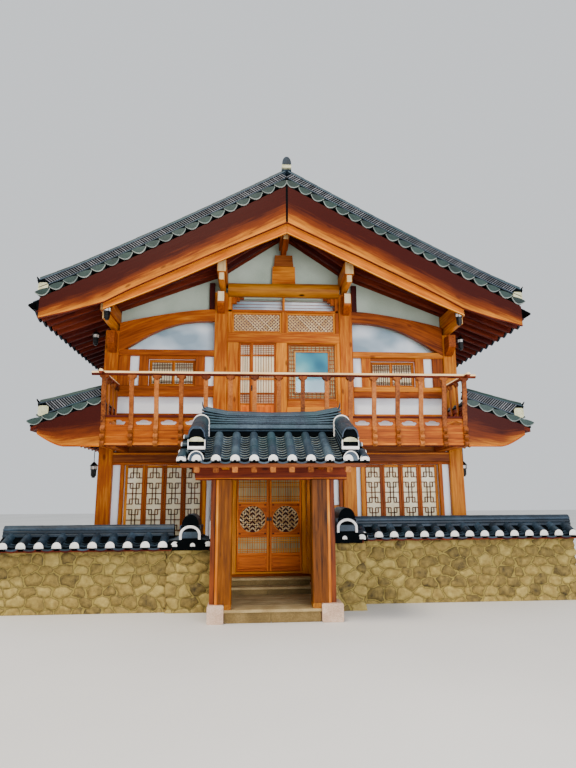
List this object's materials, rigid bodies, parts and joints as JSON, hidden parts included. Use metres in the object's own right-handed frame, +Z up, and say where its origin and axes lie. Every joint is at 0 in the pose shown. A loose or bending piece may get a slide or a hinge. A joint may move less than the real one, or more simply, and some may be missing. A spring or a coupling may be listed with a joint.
{
  "type": "hanok house",
  "caption": "Two-storey hanok house with a tiled gable roof, side roofs, a carved balcony, double front doors, a tiled gate and stone yard walls with tiled copings.",
  "frame": {"origin": "on the ground under the middle of the house plan", "axes": "+X to the right as seen from the street, +Y into the house, +Z up"},
  "size_m": [10.65, 11.17, 8.85],
  "materials": {
    "timber": "oiled honey-coloured pine with knots",
    "dark_timber": "red-brown oiled timber",
    "roof_tile": "fired blue-grey clay, weathered",
    "plaster": "white lime plaster",
    "fieldstone": "rough field stone in mortar",
    "granite": "dressed granite",
    "glass": "clear",
    "lattice_paper": "cream paper behind a dark timber lattice",
    "iron": "black painted lantern"
  },
  "bodies": {
    "house": {"plinth": "granite", "ground_floor": "timber", "door_steps": "granite", "lower_frame_front": "timber", "upper_frame_front": "timber", "back_frame": "timber", "left_frame": "timber", "right_frame": "timber", "front_wall_left": "plaster", "front_wall_right": "plaster", "lattice_window_left": "lattice_paper", "lattice_window_right": "lattice_paper", "upper_window_left": "lattice_paper", "upper_window_right": "lattice_paper", "front_wall_over_door": "plaster", "front_wall_beside_door": "plaster", "door_frame": "timber", "gable_front": "plaster", "left_wall": "plaster", "left_window_sheet": "glass", "right_wall": "plaster", "right_window_sheet": "glass", "back_wall": "plaster", "back_window_sheet_lower": "lattice_paper", "back_window_sheet_upper": "glass", "upper_front_glass": "glass", "balcony_doors": "timber", "upper_floor": "timber", "gable_beam_front": "timber", "roof_left": "roof_tile", "roof_right": "roof_tile", "rafters_left": "dark_timber", "rafters_right": "dark_timber", "ridge_purlin": "dark_timber", "main_ridge": "roof_tile", "bargeboard_front": "timber", "bargeboard_back": "timber", "wing_roof_left": "roof_tile", "wing_roof_right": "roof_tile", "wing_frame_left": "dark_timber", "wing_frame_right": "dark_timber", "balcony_floor": "timber", "balcony_railing": "timber", "balcony_railing_left": "timber", "balcony_railing_right": "timber", "gate_base_left": "granite", "gate_base_right": "granite", "gate_post_left": "timber", "gate_post_right": "timber", "gate_roof": "roof_tile", "gate_beams": "timber", "yard_wall_left": "fieldstone", "yard_wall_right": "fieldstone", "yard_coping_left": "roof_tile", "yard_coping_right": "roof_tile", "lantern_left": "iron", "lantern_right": "iron"},
    "door_leaf_left": {"front_door_left": "timber"},
    "door_leaf_right": {"front_door_right": "timber"}
  },
  "joints": [
    {"name": "front_door_left_swing", "type": "hinge", "parent": "house", "child": "door_leaf_left", "pos_m": [-0.953, -3.415, 0.499], "axis": [0, 0, 1], "range_deg": [0, 90]},
    {"name": "front_door_right_swing", "type": "hinge", "parent": "house", "child": "door_leaf_right", "pos_m": [0.333, -3.415, 0.499], "axis": [0, 0, -1], "range_deg": [0, 90]}
  ]
}
